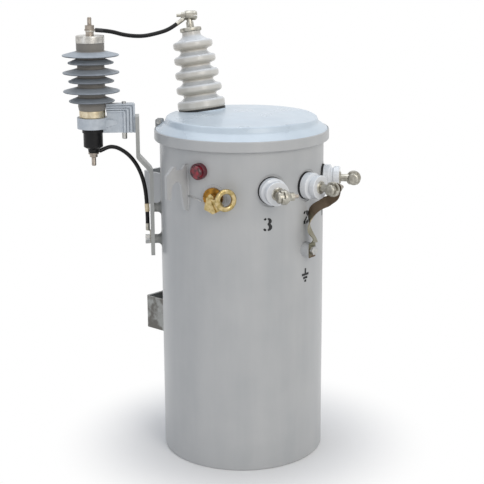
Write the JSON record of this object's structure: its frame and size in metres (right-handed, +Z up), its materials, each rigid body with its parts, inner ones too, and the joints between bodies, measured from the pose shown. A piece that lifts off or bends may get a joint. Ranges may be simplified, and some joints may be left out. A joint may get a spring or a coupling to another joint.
{
  "type": "pole mounted transformer",
  "caption": "Single-phase pole mounted distribution transformer with its surge arrester, ground lead and pole hangers.",
  "frame": {"origin": "centre of the tank's flat bottom", "axes": "+Z up, -Y towards the low-voltage bushings, +Y towards the pole"},
  "size_m": [0.5039, 0.5224, 0.9234],
  "materials": {
    "tank_paint": "satin",
    "cover_paint": "satin",
    "galvanised": "matt",
    "band_steel": "satin",
    "gasket_rubber": "matt",
    "white_porcelain": "gloss",
    "tinned_bronze": "satin",
    "bronze_strap": "satin",
    "red_lens": "gloss",
    "brass": "satin",
    "dial_amber": "satin",
    "polymer_housing": "matt",
    "cap_steel": "satin",
    "bracket_polymer": "matt",
    "black_polymer": "satin",
    "lead_jacket": "matt",
    "ferrule_cream": "matt"
  },
  "bodies": {
    "housing": {"tank": "tank_paint", "cover": "cover_paint", "cover_gasket": "gasket_rubber", "cover_band": "band_steel", "band_bolt": "galvanised", "hv_gasket": "gasket_rubber", "hv_bushing": "white_porcelain", "hv_cap": "tinned_bronze", "hv_terminal": "tinned_bronze", "hv_clamp_bolt": "tinned_bronze", "lv_gaskets": "gasket_rubber", "lv_bushing_1": "white_porcelain", "lv_bushing_2": "white_porcelain", "lv_bushing_3": "white_porcelain", "lv_terminal_1": "tinned_bronze", "lv_terminal_2": "tinned_bronze", "lv_terminal_3": "tinned_bronze", "ground_boss": "galvanised", "ground_bolt": "galvanised", "ground_strap": "bronze_strap", "signal_bezel": "red_lens", "signal_lens": "red_lens", "breaker_dial": "dial_amber", "lifting_lug_left": "tank_paint", "lifting_lug_right": "tank_paint", "hanger_upper": "tank_paint", "hanger_lower": "galvanised", "arrester_foot_cap": "cap_steel", "arrester_housing": "polymer_housing", "arrester_head_cap": "cap_steel", "arrester_head_stud": "cap_steel", "arrester_bracket": "bracket_polymer", "bracket_bolt": "galvanised", "disconnector": "black_polymer", "disconnector_stud": "cap_steel", "arrester_strap": "tank_paint", "strap_posts": "tank_paint", "strap_bolt": "galvanised", "arrester_lead_lug": "lead_jacket", "hv_lead_lug": "tinned_bronze", "disconnector_lead_lug": "lead_jacket", "ground_lead_lug": "tinned_bronze", "hv_lead": "lead_jacket", "ground_lead": "lead_jacket", "lead_ferrule": "ferrule_cream"},
    "breaker_handle": {"breaker_handle": "brass"}
  },
  "joints": [
    {"name": "breaker_handle_turn", "type": "hinge", "parent": "housing", "child": "breaker_handle", "pos_m": [-0.16524, -0.06343, 0.577], "axis": [0.9336, 0.3584, 0], "range_deg": [0, 90]}
  ]
}
